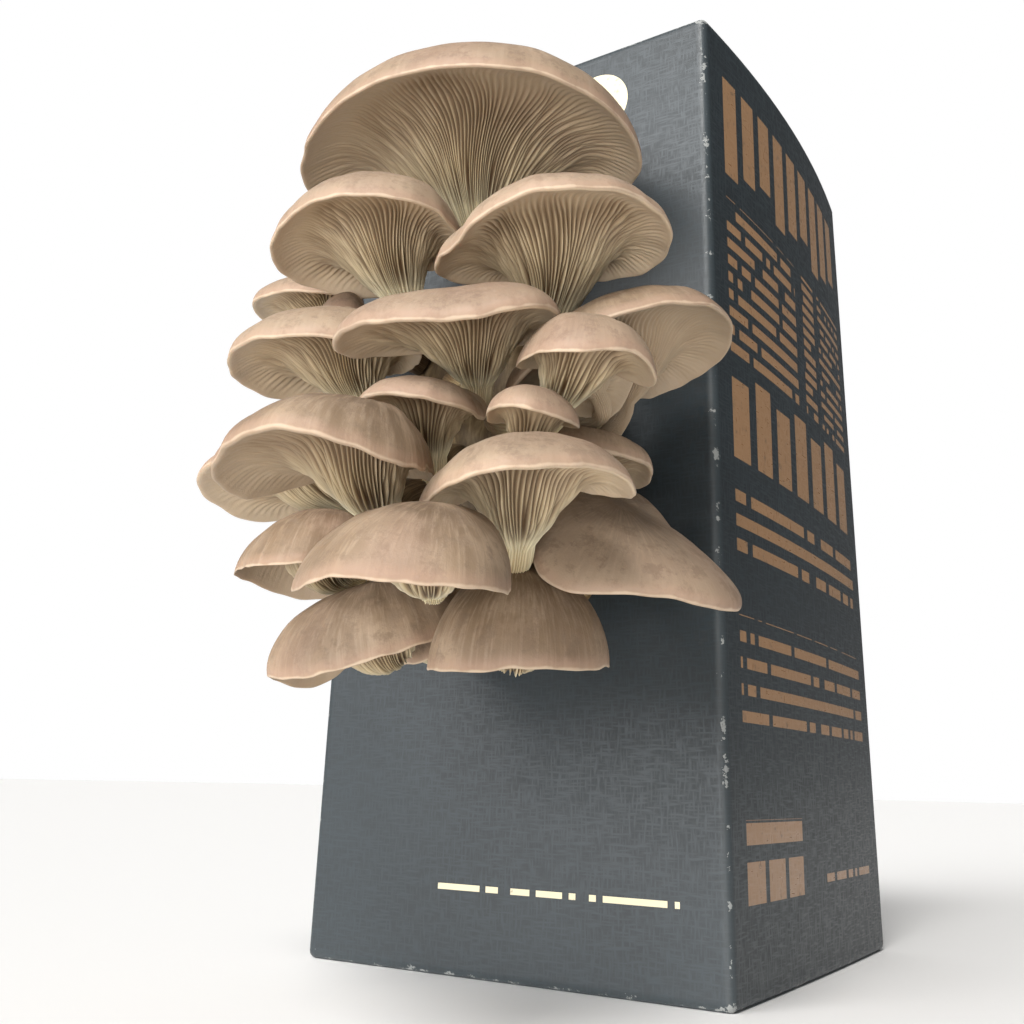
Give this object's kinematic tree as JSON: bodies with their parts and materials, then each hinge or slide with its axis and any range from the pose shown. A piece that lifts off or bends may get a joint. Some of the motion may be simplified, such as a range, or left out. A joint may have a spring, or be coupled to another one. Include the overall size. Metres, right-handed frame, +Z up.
{
  "type": "oyster mushroom grow kit",
  "caption": "Upright cardboard carton with a bag of substrate inside and a dense cluster of oyster mushrooms growing out of a window in its front.",
  "frame": {"origin": "middle of the carton's underside", "axes": "+Z up along the carton, -Y out of the front with the window, +X to the right of somebody facing the window"},
  "size_m": [0.1181, 0.197, 0.21],
  "materials": {
    "carton_board": "matt laminated, fine linen grain",
    "bag_film": "translucent film over pale substrate",
    "clump_flesh": "soft, matt, fibrous",
    "mushroom_flesh": "soft, satin, streaked; paler gills"
  },
  "bodies": {
    "root": {"carton": "carton_board", "grow_bag": "bag_film", "clump_base": "clump_flesh", "mushroom_top": "mushroom_flesh", "mushroom_upper_left": "mushroom_flesh", "mushroom_upper_right": "mushroom_flesh", "mushroom_far_left": "mushroom_flesh", "mushroom_middle_left": "mushroom_flesh", "mushroom_arched": "mushroom_flesh", "mushroom_centre": "mushroom_flesh", "mushroom_right_wing": "mushroom_flesh", "mushroom_right_inner": "mushroom_flesh", "mushroom_centre_right": "mushroom_flesh", "mushroom_small_centre": "mushroom_flesh", "mushroom_small_right": "mushroom_flesh", "mushroom_large_left": "mushroom_flesh", "mushroom_under_left": "mushroom_flesh", "mushroom_large_centre": "mushroom_flesh", "mushroom_small_side": "mushroom_flesh", "mushroom_right_low": "mushroom_flesh", "mushroom_far_low_left": "mushroom_flesh", "mushroom_low_left": "mushroom_flesh", "mushroom_bottom_left": "mushroom_flesh", "mushroom_bottom_right": "mushroom_flesh", "mushroom_bottom_small": "mushroom_flesh"}
  },
  "joints": []
}
